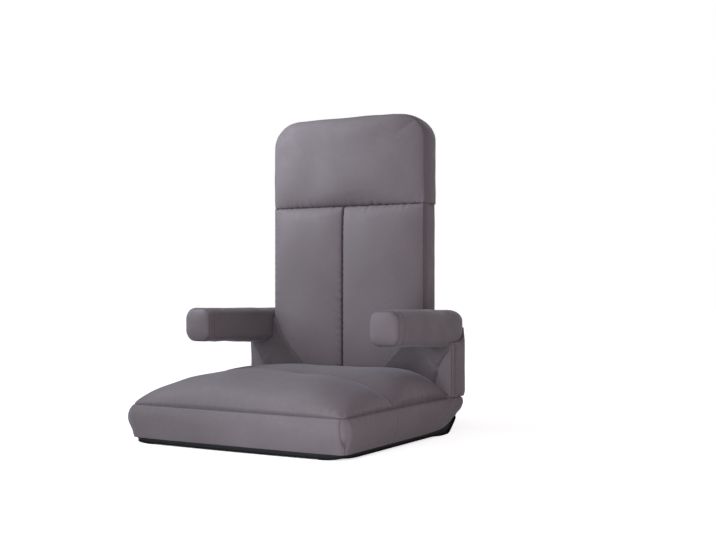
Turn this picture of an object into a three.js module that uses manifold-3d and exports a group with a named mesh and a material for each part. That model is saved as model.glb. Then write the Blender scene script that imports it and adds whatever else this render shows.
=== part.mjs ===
// Folding floor chair: a legless chair with a reclining and folding back, a tilting head
// section, a raising front (leg) section and two flip-up padded armrests.
//
// Frame: +Z up, floor at z = 0, the chair faces -Y, left-right symmetric about x = 0.
// While building, y is the distance behind the plane of the seat's front edge and z = 0 is just
// above the base cloth; the whole group is then moved so that the floor is at z = 0 and the
// centre of the footprint is at x = y = 0.  Millimetres.

import * as THREE from 'three';
import { mergeVertices } from 'three/addons/utils/BufferGeometryUtils.js';
import Module from 'manifold-3d';

// ---------------------------------------------------------------- driving dimensions
const GAP = 0.35;              // air between touching pieces
const SKIN = 2.2;              // cover cloth with its wadding
const SEAT_HALF_W = 275;
const SEAT_FRONT = -3;         // front face of the boxing band
const SEAM_Z = 79;             // welt between boxing band and seat top
const VALLEY_Y = 200;          // fold line between leg section and seat section
const LEG_PIVOT = [200, 30];   // [y, z] of the leg hinge
const LEG_HALF_V = 18.6;       // half of the fold notch, degrees
const HINGE = [510, 52];       // [y, z] of the back hinge
const TAIL_R = 26.5;           // round tail of the seat about the back hinge
const BACK_HALF_W = 212;
const BACK_FRONT = 467;        // welt plane of the back's front edge
const BACK_REAR = 531;
const BACK_CROWN = 22;         // panels stand this far forward of the welt plane
const BACK_BOTTOM = 81;
const HEAD_SEAM_Z = 536;
const HEAD_PIVOT = [508, 536];
const HEAD_HALF_V = 16.5;
const TOP_Z = 754;
const TOP_R = 58;              // upper corners of the head section
const ARM_IN = 213.6;
const ARM_OUT = 287.5;
const ARM_Z0 = 209;
const ARM_Z1 = 287;
const ARM_FRONT = 204;         // welt plane of the arm's end cap
const ARM_PIVOT = [501, 248];  // [y, z]
const ARM_REAR_R = 39;
const POST_FRONT = 464;
const POST_REAR = 540;
const TUBE_R = 9.5;            // frame tube, outer radius
const WALL = 1.4;              // frame tube wall
const FRAME_Z = 40;            // centre of the seat and leg frame tubes
const BAND_SWELL = 10;         // the boxing band swells this far beyond its seams
const FRONT_BOW = 5;           // the middle of the front edge stands this far forward of its corners
const FOOT_Y = 261;            // middle of the footprint while building
const LIFT = 6;                // the floor is this far below z = 0 while building

// ---------------------------------------------------------------- helpers
const wasm = await Module();
wasm.setup();

// closed geometry -> solid
function solid(g) {
  g = g.index ? g.clone() : g.clone();
  g.deleteAttribute('normal');
  g.deleteAttribute('uv');
  g = mergeVertices(g, 1e-4);
  return new wasm.Manifold(new wasm.Mesh({
    numProp: 3,
    vertProperties: new Float32Array(g.attributes.position.array),
    triVerts: new Uint32Array(g.index.array),
  }));
}

// solid -> geometry
function toGeometry(m) {
  const r = m.getMesh();
  const g = new THREE.BufferGeometry();
  g.setAttribute('position', new THREE.BufferAttribute(new Float32Array(r.vertProperties), 3));
  g.setIndex(new THREE.BufferAttribute(new Uint32Array(r.triVerts), 1));
  g.computeVertexNormals();
  return g;
}

const outline = (pts) => new THREE.Shape(pts.map(([a, b]) => new THREE.Vector2(a, b)));
const mat4 = (...v) => new THREE.Matrix4().set(...v);

// outline in (y, z), pushed along x
function alongX(pts, x0, x1) {
  const g = new THREE.ExtrudeGeometry(outline(pts), { depth: x1 - x0, bevelEnabled: false, steps: 1 });
  g.applyMatrix4(mat4(0, 0, 1, x0, 1, 0, 0, 0, 0, 1, 0, 0, 0, 0, 0, 1));
  return solid(g);
}
// outline in (x, z), pushed along y
function alongY(pts, y0, y1) {
  const g = new THREE.ExtrudeGeometry(outline(pts), { depth: y1 - y0, bevelEnabled: false, steps: 1 });
  g.applyMatrix4(mat4(1, 0, 0, 0, 0, 0, -1, y1, 0, 1, 0, 0, 0, 0, 0, 1));
  return solid(g);
}
// outline in (x, y), pushed along z
function alongZ(pts, z0, z1) {
  const g = new THREE.ExtrudeGeometry(outline(pts), { depth: z1 - z0, bevelEnabled: false, steps: 1 });
  g.translate(0, 0, z0);
  return solid(g);
}
const block = (x0, x1, y0, y1, z0, z1) => alongZ([[x0, y0], [x1, y0], [x1, y1], [x0, y1]], z0, z1);

// points of a circle arc, degrees, in any plane
const arc = (a, b, r, from, to, n) => Array.from({ length: n + 1 }, (_, i) => {
  const t = THREE.MathUtils.degToRad(from + (to - from) * i / n);
  return [a + r * Math.cos(t), b + r * Math.sin(t)];
});
// rounded rectangle outline
const rounded = (a0, a1, b0, b1, r, n = 3) => [
  ...arc(a1 - r, b0 + r, r, -90, 0, n), ...arc(a1 - r, b1 - r, r, 0, 90, n),
  ...arc(a0 + r, b1 - r, r, 90, 180, n), ...arc(a0 + r, b0 + r, r, 180, 270, n)];

const rodX = (y, z, r, x0, x1, sides = 16) => {
  const g = new THREE.CylinderGeometry(r, r, x1 - x0, sides, 1);
  g.rotateZ(Math.PI / 2);
  g.translate((x0 + x1) / 2, y, z);
  return solid(g);
};

// a path through given points, one section at each point
class BentPath extends THREE.Curve {
  constructor(points) { super(); this.p = points.map((q) => new THREE.Vector3(...q)); }
  getPoint(t, out = new THREE.Vector3()) {
    const n = this.p.length - 1, f = Math.min(Math.max(t * n, 0), n), i = Math.min(Math.floor(f + 1e-9), n - 1);
    return out.lerpVectors(this.p[i], this.p[i + 1], f - i);
  }
  getPointAt(t, out) { return this.getPoint(t, out); }
  getTangentAt(t, out = new THREE.Vector3()) {
    const n = this.p.length - 1, k = Math.round(t * n);
    const a = this.p[Math.max(k - 1, 0)], b = this.p[k], c = this.p[Math.min(k + 1, n)];
    const before = new THREE.Vector3().subVectors(b, a), after = new THREE.Vector3().subVectors(c, b);
    if (before.lengthSq() > 0) before.normalize();
    if (after.lengthSq() > 0) after.normalize();
    return out.addVectors(before, after).normalize();
  }
}
// bent steel tube of round section, open at both ends: corner points are rounded with bend radius b
function tube(points, r = TUBE_R, b = 40, sides = 10) {
  const far = points.map((q) => new THREE.Vector3(...q)), n = far.length - 1;
  far[0].add(new THREE.Vector3().subVectors(far[0], far[1]).setLength(2));
  far[n].add(new THREE.Vector3().subVectors(far[n], far[n - 1]).setLength(2));
  return rod(points, r, b, sides).subtract(rod(far.map((q) => q.toArray()), r - WALL, b, 8));
}
function rod(points, r, b, sides) {
  const p = points.map((q) => new THREE.Vector3(...q));
  const path = [p[0].toArray()];
  for (let i = 1; i < p.length - 1; i++) {
    const u = new THREE.Vector3().subVectors(p[i - 1], p[i]).normalize();
    const v = new THREE.Vector3().subVectors(p[i + 1], p[i]).normalize();
    const half = u.angleTo(v) / 2, back = b / Math.tan(half);
    const c = new THREE.Vector3().addVectors(u, v).normalize().multiplyScalar(b / Math.sin(half)).add(p[i]);
    const s = p[i].clone().addScaledVector(u, back).sub(c), e = p[i].clone().addScaledVector(v, back).sub(c);
    const axis = new THREE.Vector3().crossVectors(s, e).normalize(), sweep = s.angleTo(e);
    for (let k = 0; k <= 4; k++) path.push(s.clone().applyAxisAngle(axis, sweep * k / 4).add(c).toArray());
  }
  path.push(p[p.length - 1].toArray());
  const section = outline(arc(0, 0, r, 0, 360 - 360 / sides, sides - 1));
  return solid(new THREE.ExtrudeGeometry(section, { steps: path.length - 1, bevelEnabled: false, extrudePath: new BentPath(path) }));
}

// a box with grid lines at the given values, every point moved by f(x, y, z)
function moulded(bx, by, bz, f) {
  const g = new THREE.BoxGeometry(2, 2, 2, bx.length - 1, by.length - 1, bz.length - 1);
  const p = g.attributes.position;
  const at = (v, list) => list[Math.round((v + 1) / 2 * (list.length - 1))];
  for (let i = 0; i < p.count; i++) {
    const q = f(at(p.getX(i), bx), at(p.getY(i), by), at(p.getZ(i), bz));
    p.setXYZ(i, q[0], q[1], q[2]);
  }
  return solid(g);
}
const mirrored = (list) => [...list.map((v) => -v), ...list.slice().reverse().filter((v) => v !== 0)];
const clamp = (v, a, b) => Math.min(Math.max(v, a), b);
const lerp = (a, b, t) => a + (b - a) * t;
const table = (pts, v) => {
  if (v <= pts[0][0]) return pts[0][1];
  for (let i = 1; i < pts.length; i++) if (v <= pts[i][0]) return lerp(pts[i - 1][1], pts[i][1], (v - pts[i - 1][0]) / (pts[i][0] - pts[i - 1][0]));
  return pts[pts.length - 1][1];
};
// square corners of a rectangle pulled in to rounded ones
function roundPlan(a, b, a0, a1, b0, b1, r) {
  const ia = clamp(a, a0 + r, a1 - r), ib = clamp(b, b0 + r, b1 - r), u = a - ia, v = b - ib, m = Math.max(Math.abs(u), Math.abs(v)), l = Math.hypot(u, v);
  return l > 1e-9 && Math.abs(u) > 1e-9 && Math.abs(v) > 1e-9 ? [ia + u * m / l, ib + v * m / l] : [a, b];
}
const tan = (deg) => Math.tan(THREE.MathUtils.degToRad(deg));

// ---------------------------------------------------------------- materials
const FABRIC = () => new THREE.MeshStandardMaterial({ color: 0x6f666b, roughness: 0.62, metalness: 0 });
const BASE = () => new THREE.MeshStandardMaterial({ color: 0x17171a, roughness: 0.9, metalness: 0 });
const FOAM = () => new THREE.MeshStandardMaterial({ color: 0xd8cfb4, roughness: 0.95, metalness: 0 });
const STEEL = () => new THREE.MeshStandardMaterial({ color: 0x2b2c2f, roughness: 0.45, metalness: 0.6 });
const ZINC = () => new THREE.MeshStandardMaterial({ color: 0xa9abae, roughness: 0.35, metalness: 1 });
const WEBBING = () => new THREE.MeshStandardMaterial({ color: 0x202022, roughness: 0.85, metalness: 0 });

const chair = new THREE.Group();
const bench = new THREE.Group();
bench.position.set(0, -FOOT_Y, LIFT);
chair.add(bench);
function add(name, m, material) {
  const mesh = new THREE.Mesh(toGeometry(m), material);
  mesh.name = name;
  bench.add(mesh);
}
const sides = [['left', -1], ['right', 1]];   // the sitter faces -Y; left is -X as seen from the front camera side
const flip = (m, s) => (s > 0 ? m : m.mirror([1, 0, 0]));

// ---------------------------------------------------------------- seat and leg section
// height of the seat top along the middle line
const TOP_LINE = [[-3, 79], [2, 92], [12, 106], [30, 124], [60, 141], [105, 152], [150, 150], [180, 141], [200, 134],
  [220, 139], [260, 148], [310, 152], [365, 147], [400, 125], [432, 98], [455, 84]];
const across = (x) => Math.pow(Math.max(0, 1 - Math.pow(Math.abs(x) / SEAT_HALF_W, 2.8)), 0.55);
const seatTop = (x, y) => SEAM_Z + (table(TOP_LINE, y) - SEAM_Z) * across(x);
const XS = mirrored([275, 271, 262, 245, 215, 165, 90, 0]);

// body of a seat section between two y values; inset shrinks it on all its outer sides
const LEVELS = [0, 0.12, 0.3, 0.5, 0.7, 0.88, 1];
function seatBody(ys, inset, z0, cornerFront) {
  const hw = SEAT_HALF_W - inset;
  return moulded(XS, ys, LEVELS, (x, y, t) => {
    const swell = BAND_SWELL * Math.pow(Math.sin(Math.PI * t), 0.7);
    const fx = x / SEAT_HALF_W * hw;
    const front = y === SEAT_FRONT;
    let px = fx, py = front ? y + inset : y;
    if (cornerFront) [px, py] = roundPlan(fx, py, -hw, hw, SEAT_FRONT + inset, 2000, 24 - inset);
    const side = Math.abs(x) === SEAT_HALF_W, both = side && front ? 0.75 : 1;
    if (side) px += Math.sign(x) * swell * both;
    if (front) py -= swell * both;
    if (cornerFront) py -= FRONT_BOW * (1 - Math.pow(x / SEAT_HALF_W, 2)) * clamp(1 - (y - SEAT_FRONT) / 60, 0, 1);
    const top = Math.max(seatTop(x, y) - inset, z0 + 1);
    return [px, py, lerp(z0, top, t)];
  });
}
// half-space in front of or behind a plane that leans by deg from the vertical through (y, z)
const wedgeFront = (deg, shift, [py, pz]) => alongX([[py - shift, pz - 60], [py - shift, pz], [py - shift - 240 * tan(deg), pz + 240], [py - 700, pz + 240], [py - 700, pz - 60]].reverse(), -400, 400);
const wedgeRear = (deg, shift, [py, pz]) => alongX([[py + shift, pz - 60], [py + shift, pz], [py + shift + 240 * tan(deg), pz + 240], [py + 700, pz + 240], [py + 700, pz - 60]], -400, 400);

const LEG_YS = [SEAT_FRONT, 2, 12, 30, 60, 105, 150, 175, 200];
const SEAT_YS = [200, 222, 260, 310, 365, 400, 432, 455];
const legOuter = seatBody(LEG_YS, 0, 7, true).intersect(wedgeFront(LEG_HALF_V, 1.5, LEG_PIVOT));
const legInner = seatBody(LEG_YS, SKIN, 4, true);
const legFoamOuter = seatBody(LEG_YS, SKIN + GAP, 7, true).intersect(wedgeFront(LEG_HALF_V, 2.5, LEG_PIVOT));
const legPocket = block(-231, 231, 26, 260, 0, 54);
add('leg_cover', legOuter.subtract(legInner), FABRIC());
add('leg_foam', legFoamOuter.subtract(legPocket), FOAM());
add('leg_base_cloth', alongZ([[-272, 197.5], ...arc(-272 + 28, 26, 28, 180, 270, 4), [-150, -4.5], [0, -6.5], [150, -4.5], ...arc(272 - 28, 26, 28, 270, 360, 4), [272, 197.5]], -LIFT, 6.5), BASE());

const seatOuter = seatBody(SEAT_YS, 0, 7, false).intersect(wedgeRear(LEG_HALF_V, 1.5, LEG_PIVOT));
const seatInner = seatBody(SEAT_YS, SKIN, 4, false);
const rearSlope = alongX([[100, -10], [440, -10], [440, 6], [452, 14], [452, 300], [100, 300]], -400, 400);
// padded roll over the back hinge between the two tails, sewn to the rear edge of the cover
const rollTop = [...arc(HINGE[0], HINGE[1], TAIL_R, 0, 130, 9), [484, 67.5], [474, 66], [464, 69], [457, 76], [452.3, 79]];
const roll = alongX([[452.3, 10.5], [456, 13.5], [475, 22.5], [504, 40.5], [527, 47], ...rollTop], -187, 187)
  .add(block(-262, 262, 449.7, 452.3, 10.5, 79).subtract(block(194, 202, 440, 470, 24, 56)).subtract(block(-202, -194, 440, 470, 24, 56)));
add('seat_cover', seatOuter.intersect(rearSlope).subtract(seatInner).add(roll), FABRIC());
const seatFoamOuter = seatBody(SEAT_YS, SKIN + GAP, 7, false).intersect(wedgeRear(LEG_HALF_V, 2.5, LEG_PIVOT)).intersect(rearSlope);
add('seat_foam', seatFoamOuter.subtract(block(-231, 231, 150, 470, 0, 54)).subtract(block(-400, 400, 449.2, 480, -20, 300)), FOAM());
add('seat_base_cloth', alongX([[202.5, -LIFT], [442, -LIFT], [478, 13], [506, 32], [503, 38.5], [475, 21], [446, 6.5], [202.5, 6.5]], -272, 272)
  .subtract(block(192, 212, 458, 520, -10, 60)).subtract(block(-212, -192, 458, 520, -10, 60)), BASE());

// wedge of soft foam that fills the fold notch while the leg section lies flat
add('fold_foam', moulded(XS, [-1, 1], [0, 1], (x, s, t) => {
  const z = t ? Math.max(Math.min(seatTop(x, 200) - 1, 134), 60) : 58;
  return [x / SEAT_HALF_W * (SEAT_HALF_W - 4), LEG_PIVOT[0] + s * ((z - LEG_PIVOT[1]) * tan(LEG_HALF_V) + 0.6), z];
}).intersect(alongX([[140, 40], [260, 40], [260, 200], [140, 200]], -262, 262)), FOAM());

// padded tails of the seat under the wing posts, round about the back hinge
const tail = [[456, 13.5], [475, 22.5], [504, 40.5], [527, 47], ...arc(HINGE[0], HINGE[1], TAIL_R, 0, 90, 6), [456, HINGE[1] + TAIL_R]];
for (const [side, s] of sides) {
  const core = [[456, 22], [475, 30], [504, 46], [527, 51], ...arc(HINGE[0], HINGE[1], TAIL_R - 6, 0, 90, 6), [456, HINGE[1] + TAIL_R - 6]];
  add(`seat_tail_${side}`, flip(alongX(tail, 216, SEAT_HALF_W + 1).add(alongX(core, 250, SEAT_HALF_W + 8)), s), FABRIC());
}

// steel frames in the base, joined by the leg hinges
const RAIL_X = 205;
add('leg_frame', tube([[-RAIL_X, 186, FRAME_Z], [-RAIL_X, 46, FRAME_Z], [RAIL_X, 46, FRAME_Z], [RAIL_X, 186, FRAME_Z]]), STEEL());
add('seat_frame', tube([[-RAIL_X, 214, FRAME_Z], [-RAIL_X, 428, FRAME_Z], [RAIL_X, 428, FRAME_Z], [RAIL_X, 214, FRAME_Z]]), STEEL());
const strap = (y0, y1, z, half) => alongY([[-half - 2, z], [half + 2, z], [half + 11.5, z - 5], [half + 12.4, z - 3.6], [half + 2.6, z + 1.6], [-half - 2.6, z + 1.6], [-half - 12.4, z - 3.6], [-half - 11.5, z - 5]], y0, y1);
add('leg_strap', strap(95, 145, FRAME_Z + TUBE_R + 0.5, RAIL_X), WEBBING());
add('seat_strap_front', strap(245, 295, FRAME_Z + TUBE_R + 0.5, RAIL_X), WEBBING());
add('seat_strap_rear', strap(330, 380, FRAME_Z + TUBE_R + 0.5, RAIL_X), WEBBING());

// leg hinges: a fork leaf on the seat frame, a tongue with its pin on the leg frame
for (const [side, s] of sides) {
  const [py, pz] = LEG_PIVOT;
  const leaf = (x0, x1, dir, w) => alongX([...arc(py, pz, 9, dir > 0 ? 90 : -90, dir > 0 ? 270 : 90, 8).map((q) => q), ...(dir > 0
    ? [[py + 30, FRAME_Z - TUBE_R - 0.4 - w], [py + 30, FRAME_Z - TUBE_R - 0.4], [py + 12.5, FRAME_Z - TUBE_R - 0.4], [py + 11, pz + 9]]
    : [[py - 11, pz + 9], [py - 12.5, FRAME_Z - TUBE_R - 0.4], [py - 30, FRAME_Z - TUBE_R - 0.4], [py - 30, FRAME_Z - TUBE_R - 0.4 - w]])], x0, x1);
  const fork = leaf(RAIL_X - 6, RAIL_X - 2, 1, 14).subtract(rodX(py, pz, 4.2, RAIL_X - 20, RAIL_X + 20));
  add(`leg_hinge_fork_${side}`, flip(fork, s), ZINC());
  const tongue = leaf(RAIL_X - 1.5, RAIL_X + 2.5, -1, 14).add(rodX(py, pz, 4, RAIL_X - 9, RAIL_X + 6));
  add(`leg_hinge_tongue_${side}`, flip(tongue, s), ZINC());
}

// ---------------------------------------------------------------- ratchet hinges of the back
// seat plate with a toothed head, pawl plate, back plate; one pin through all three
const teeth = (r0, r1, n, from, to) => Array.from({ length: n * 2 + 1 }, (_, i) => {
  const t = THREE.MathUtils.degToRad(lerp(from, to, i / (n * 2))), r = i % 2 ? r0 : r1;
  return [HINGE[0] + r * Math.cos(t), HINGE[1] + r * Math.sin(t)];
});
for (const [side, s] of sides) {
  const x = 196;
  const seatPlate = alongX([...teeth(15.6, 18, 12, -70, 150), [470, 53], [427, 51], [427, 41], [440, 30], [470, 27]], x, x + 4)
    .subtract(rodX(...HINGE, 5.2, 150, 250));
  add(`ratchet_seat_plate_${side}`, flip(seatPlate, s), ZINC());
  const pawl = alongX([...arc(...HINGE, 12, 110, 430, 12), [HINGE[0] + 4, HINGE[1] + 26], [HINGE[0] - 6, HINGE[1] + 26]], x + 4.5, x + 7)
    .subtract(rodX(...HINGE, 5.2, 150, 250));
  add(`ratchet_pawl_${side}`, flip(pawl, s), ZINC());
  const backPlate = alongX([...arc(...HINGE, 15, 180, 360, 10), [HINGE[0] + 12, 130], [HINGE[0] - 12, 130]], x + 7.5, x + 11)
    .subtract(rodX(...HINGE, 5.2, 150, 250));
  add(`ratchet_back_plate_${side}`, flip(backPlate, s), ZINC());
  add(`hinge_pin_${side}`, flip(rodX(...HINGE, 5, x - 5.5, x + 12.6, 16).add(rodX(...HINGE, 9, x - 8, x - 5.5, 16)), s), ZINC());
}

// ---------------------------------------------------------------- back
const RAIL_B = 186;
const BX = 510;                // plane of the back and head frames
const crossZ = 150;            // tube that carries the wing plates
const backFrame = tube([[-RAIL_B, BX, 96], [-RAIL_B, BX, 512], [RAIL_B, BX, 512], [RAIL_B, BX, 96]], TUBE_R, 40, 10)
  .add(rodX(BX, crossZ, 8, -241.5, 241.5, 12))
  .add(block(185, 203.2, BX - 8, BX + 8, 98, 128)).add(block(-203.2, -185, BX - 8, BX + 8, 98, 128));
add('back_frame', backFrame, STEEL());
const strapB = (z0, z1) => alongZ([[-RAIL_B, BX - TUBE_R - 2.1], [-RAIL_B, BX - TUBE_R - 0.5], [RAIL_B, BX - TUBE_R - 0.5], [RAIL_B, BX - TUBE_R - 2.1]].reverse(), z0, z1);
add('back_strap_lower', strapB(230, 280), WEBBING());
add('back_strap_upper', strapB(370, 420), WEBBING());

const headV = (shift) => alongX([[HEAD_PIVOT[0] + 60, HEAD_PIVOT[1] - shift], [HEAD_PIVOT[0], HEAD_PIVOT[1] - shift], [HEAD_PIVOT[0] - 120, HEAD_PIVOT[1] - shift - 120 * tan(HEAD_HALF_V)],
  [HEAD_PIVOT[0] - 120, -50], [HEAD_PIVOT[0] + 60, -50]].reverse(), -400, 400);
const crossHole = rodX(BX, crossZ, 9, -300, 300, 12);
const backCore = block(-208.5, 208.5, 480, 526.8, BACK_BOTTOM + 1, 528)
  .subtract(block(-199, 199, 496.5, 540, 60, 524.5))
  .subtract(block(-209.5, 209.5, 470, 540, 60, 134)).subtract(block(-209.5, 209.5, 470, 497.5, 60, 262))
  .subtract(block(165, 190, 496, 540, 500, 560)).subtract(block(-190, -165, 496, 540, 500, 560))
  .subtract(crossHole).intersect(headV(1.5));
add('back_core_foam', backCore, FOAM());
const gusset = alongZ([[-212, 468], [-209, 468], [-209, 527.3], [209, 527.3], [209, 468], [212, 468], [212, 524], ...arc(204, 523, 8, 10, 90, 3), ...arc(-204, 523, 8, 90, 170, 3), [-212, 524]], BACK_BOTTOM, 534)
  .subtract(crossHole).subtract(block(-230, 230, 460, 498, 60, 262)).subtract(block(-230, 230, 460, 525, 60, 92)).intersect(headV(1.0));
add('back_cover', gusset, FABRIC());
// lumbar panels, each a crowned pad with its own cloth front
const padX = [1, 8, 24, 60, 105, 150, 186, 202, 208.5];
for (const [side, s] of sides) {
  const pad = moulded(padX, [0, 1], [100, 112, 150, 220, 258, 261, 330, 440, 495, 518, 528], (x, t, z) => {
    const u = (x - 104.75) / 103.75, w = (z - 314) / 214;
    const puff = Math.pow(Math.max(0, 1 - Math.pow(Math.abs(u), 4)), 0.5) * Math.pow(Math.max(0, 1 - Math.pow(Math.abs(w), 8)), 0.5);
    return [x, t ? (z < 260 ? 496.8 : 479.6) : BACK_FRONT + 1 - (BACK_CROWN + 1) * puff, z];
  });
  add(`lumbar_pad_${side}`, flip(pad.intersect(headV(1.5)), s), FABRIC());
}
// zip in the rear panel, with its slider
add('back_zip', block(-150, 150, 531.35, 533, 116, 128), BASE());
add('zip_slider', alongX([[533.3, 114], [536.5, 116], [536.5, 128], [533.3, 130]], 138, 146), ZINC());

// ---------------------------------------------------------------- head section
const HX = mirrored([212, 208, 196, 176, 150, 90, 0]);
const HZ = [538.5, 548, 575, 640, 700, 728, 742, 750, 754];
function headBody(inset, z0) {
  const hw = BACK_HALF_W - inset;
  return moulded(HX, [0, 1], HZ.map((z, i) => (i ? z : z)), (x, t, z) => {
    const u = Math.abs(x) / BACK_HALF_W, w = (z - 538.5) / (TOP_Z - 538.5);
    const puff = Math.pow(Math.max(0, 1 - Math.pow(u, 3.6)), 0.5) * Math.pow(Math.max(0, 1 - Math.pow(Math.abs(w * 2 - 1), 5)), 0.5);
    const rearPuff = puff * 7;
    const zz = z === 538.5 ? z0 : Math.min(z, TOP_Z - inset);
    const [px, pz] = roundPlan(x / BACK_HALF_W * hw, zz, -hw, hw, -2000, TOP_Z - inset, TOP_R - inset);
    return [px, t ? BACK_REAR - inset + rearPuff : BACK_FRONT + inset - BACK_CROWN * puff, pz];
  });
}
const headCut = (shift) => alongX([[HEAD_PIVOT[0] + 90, HEAD_PIVOT[1] + shift], [HEAD_PIVOT[0], HEAD_PIVOT[1] + shift], [HEAD_PIVOT[0] - 120, HEAD_PIVOT[1] + shift + 120 * tan(HEAD_HALF_V)],
  [HEAD_PIVOT[0] - 120, 900], [HEAD_PIVOT[0] + 90, 900]], -400, 400);
add('head_cover', headBody(0, 530).subtract(headBody(SKIN, 500)).intersect(headCut(1.5)), FABRIC());
add('head_foam', headBody(SKIN + GAP, 530).intersect(headCut(2.5)).subtract(block(-199, 199, 496, 524, 500, 716)), FOAM());
add('head_frame', tube([[-RAIL_B, BX, 566], [-RAIL_B, BX, 700], [RAIL_B, BX, 700], [RAIL_B, BX, 566]], TUBE_R, 45, 10), STEEL());
for (const [side, s] of sides) {
  const [py, pz] = HEAD_PIVOT;
  const lower = alongX([...arc(py, pz, 9, 0, 180, 8), [py - 8, 521.9], [py + 8, 521.9]], RAIL_B - 14.5, RAIL_B - 10.5).subtract(rodX(py, pz, 4.2, 100, 250));
  add(`head_hinge_lower_${side}`, flip(lower, s), ZINC());
  const upper = alongX([...arc(py, pz, 9, 180, 360, 8), [py + 8, 565.6], [py - 8, 565.6]], RAIL_B - 10, RAIL_B - 6).add(rodX(py, pz, 4, RAIL_B - 17, RAIL_B - 4));
  add(`head_hinge_upper_${side}`, flip(upper, s), ZINC());
}

// ---------------------------------------------------------------- wings and armrests
const armSection = rounded(ARM_IN, ARM_OUT, ARM_Z0, ARM_Z1, 24, 4);
const armSide = (r, y0) => [[y0, ARM_Z0 - 20], [ARM_PIVOT[0], ARM_PIVOT[1] - r], ...arc(...ARM_PIVOT, r, -90, 90, 10), [y0, ARM_Z1 + 20]].map(([y, z]) => [y, z]);
const armForm = (inset, y0) => alongY(rounded(ARM_IN + inset, ARM_OUT - inset, ARM_Z0 + inset, ARM_Z1 - inset, 24 - inset, 4), y0, POST_REAR + 10)
  .intersect(alongX([[y0 - 5, ARM_PIVOT[1] - ARM_REAR_R + inset], ...arc(...ARM_PIVOT, ARM_REAR_R - inset, -90, 90, 10), [y0 - 5, ARM_PIVOT[1] + ARM_REAR_R - inset]], 150, 350));
const armSlot = (inset) => block(239 + inset, 263 - inset, 466 + inset, 560, 190, 268 - inset);
const wingSlot = block(241.5, 249.5, 494, 526, 60, 226);
for (const [side, s] of sides) {
  add(`arm_cover_${side}`, flip(armForm(0, ARM_FRONT).subtract(armForm(SKIN, ARM_FRONT - 30)).subtract(armSlot(0)), s), FABRIC());
  add(`arm_foam_${side}`, flip(armForm(SKIN + GAP, ARM_FRONT + GAP).subtract(armSlot(-1)).subtract(block(240, 262, 230, 480, 238, 258)).subtract(block(240, 262, 436, 480, 231, 265)), s), FOAM());
  // end cap: a crowned D-shaped panel
  const cap = new THREE.ExtrudeGeometry(outline(rounded(ARM_IN + 10, ARM_OUT - 10, ARM_Z0 + 10, ARM_Z1 - 10, 15, 4)), { depth: 0.1, bevelEnabled: true, bevelThickness: 12, bevelSize: 9.5, bevelSegments: 3, curveSegments: 4 });
  cap.applyMatrix4(mat4(1, 0, 0, 0, 0, 0, -1, ARM_FRONT, 0, 1, 0, 0, 0, 0, 0, 1));
  add(`arm_end_cap_${side}`, flip(solid(cap).intersect(block(100, 400, 100, ARM_FRONT - GAP, 100, 400)), s), FABRIC());
  // wooden core board with a steel tongue at the pivot
  add(`arm_core_${side}`, flip(block(244, 258, 234, 452, 240, 256).add(alongX([[440, 240], [452, 234], ...arc(...ARM_PIVOT, 14, -90, 90, 8), [452, 262], [440, 256]], 254.5, 258)).subtract(rodX(...ARM_PIVOT, 5.2, 200, 300)), s), STEEL());
  add(`arm_bracket_${side}`, flip(alongX([[470, 240], ...arc(...ARM_PIVOT, 14, -90, 90, 8), [470, 256]], 250.2, 254).subtract(rodX(...ARM_PIVOT, 5.2, 200, 300)), s), ZINC());
  add(`arm_bolt_${side}`, flip(rodX(...ARM_PIVOT, 5, 242.5, 261).add(rodX(...ARM_PIVOT, 8.5, 240.2, 242.5)), s), ZINC());
  // steel wing plate from the back frame's cross tube up to the arm pivot
  add(`wing_plate_${side}`, flip(alongX([...arc(BX, 136, 15, 180, 360, 6), [BX + 12, 215], ...arc(...ARM_PIVOT, 14, 20, 180, 8), [BX - 15, 215]], 243, 248.6).subtract(rodX(...ARM_PIVOT, 5.2, 200, 300)).subtract(rodX(BX, crossZ, 8.3, 200, 242)), s), STEEL());
  // padded wing post; behind the arm it rises and cups the arm's round end
  const post = alongX([[POST_FRONT, BACK_BOTTOM - 1], [POST_REAR - 12, BACK_BOTTOM - 1], [POST_REAR, BACK_BOTTOM + 12], [POST_REAR, ARM_Z0 - 1], [POST_FRONT, ARM_Z0 - 1]], ARM_IN - 0.6, ARM_OUT)
    .add(block(ARM_IN - 0.6, ARM_OUT, ARM_PIVOT[0], POST_REAR, ARM_Z0 - 3, 238).subtract(rodX(...ARM_PIVOT, 40.4, 200, 300, 48)))
    .subtract(wingSlot).subtract(rodX(BX, crossZ, 9, 200, 246, 12));
  add(`wing_pad_${side}`, flip(post, s), FABRIC());
  // cloth web between post, arm and back
  const web = moulded([0, 0.5, 1], [0, 1], [0, 0.5, 1], (u, v, w) => {
    const inner = w === 0 ? [130, 443, 118] : w === 0.5 ? [180, 441, 165] : [211, 452, 207];
    const outer = w === 0 ? [250, 463, 100] : w === 0.5 ? [243, 432, 156] : [236, 410, 207];
    const rearIn = [inner[0] + 2, inner[1] + 1.5, inner[2]], rearOut = [w === 1 ? 250 : 252, 463.4, outer[2]];
    const a = v ? rearIn : inner, b = v ? rearOut : outer;
    return [lerp(a[0], b[0], u), lerp(a[1], b[1], u), lerp(a[2], b[2], u)];
  });
  add(`wing_web_${side}`, flip(web.subtract(block(0, 212.4, 440, 600, 0, 400)).trimByPlane([0, 0, 1], 100), s), FABRIC());
}

export default chair;
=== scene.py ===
import math

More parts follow.
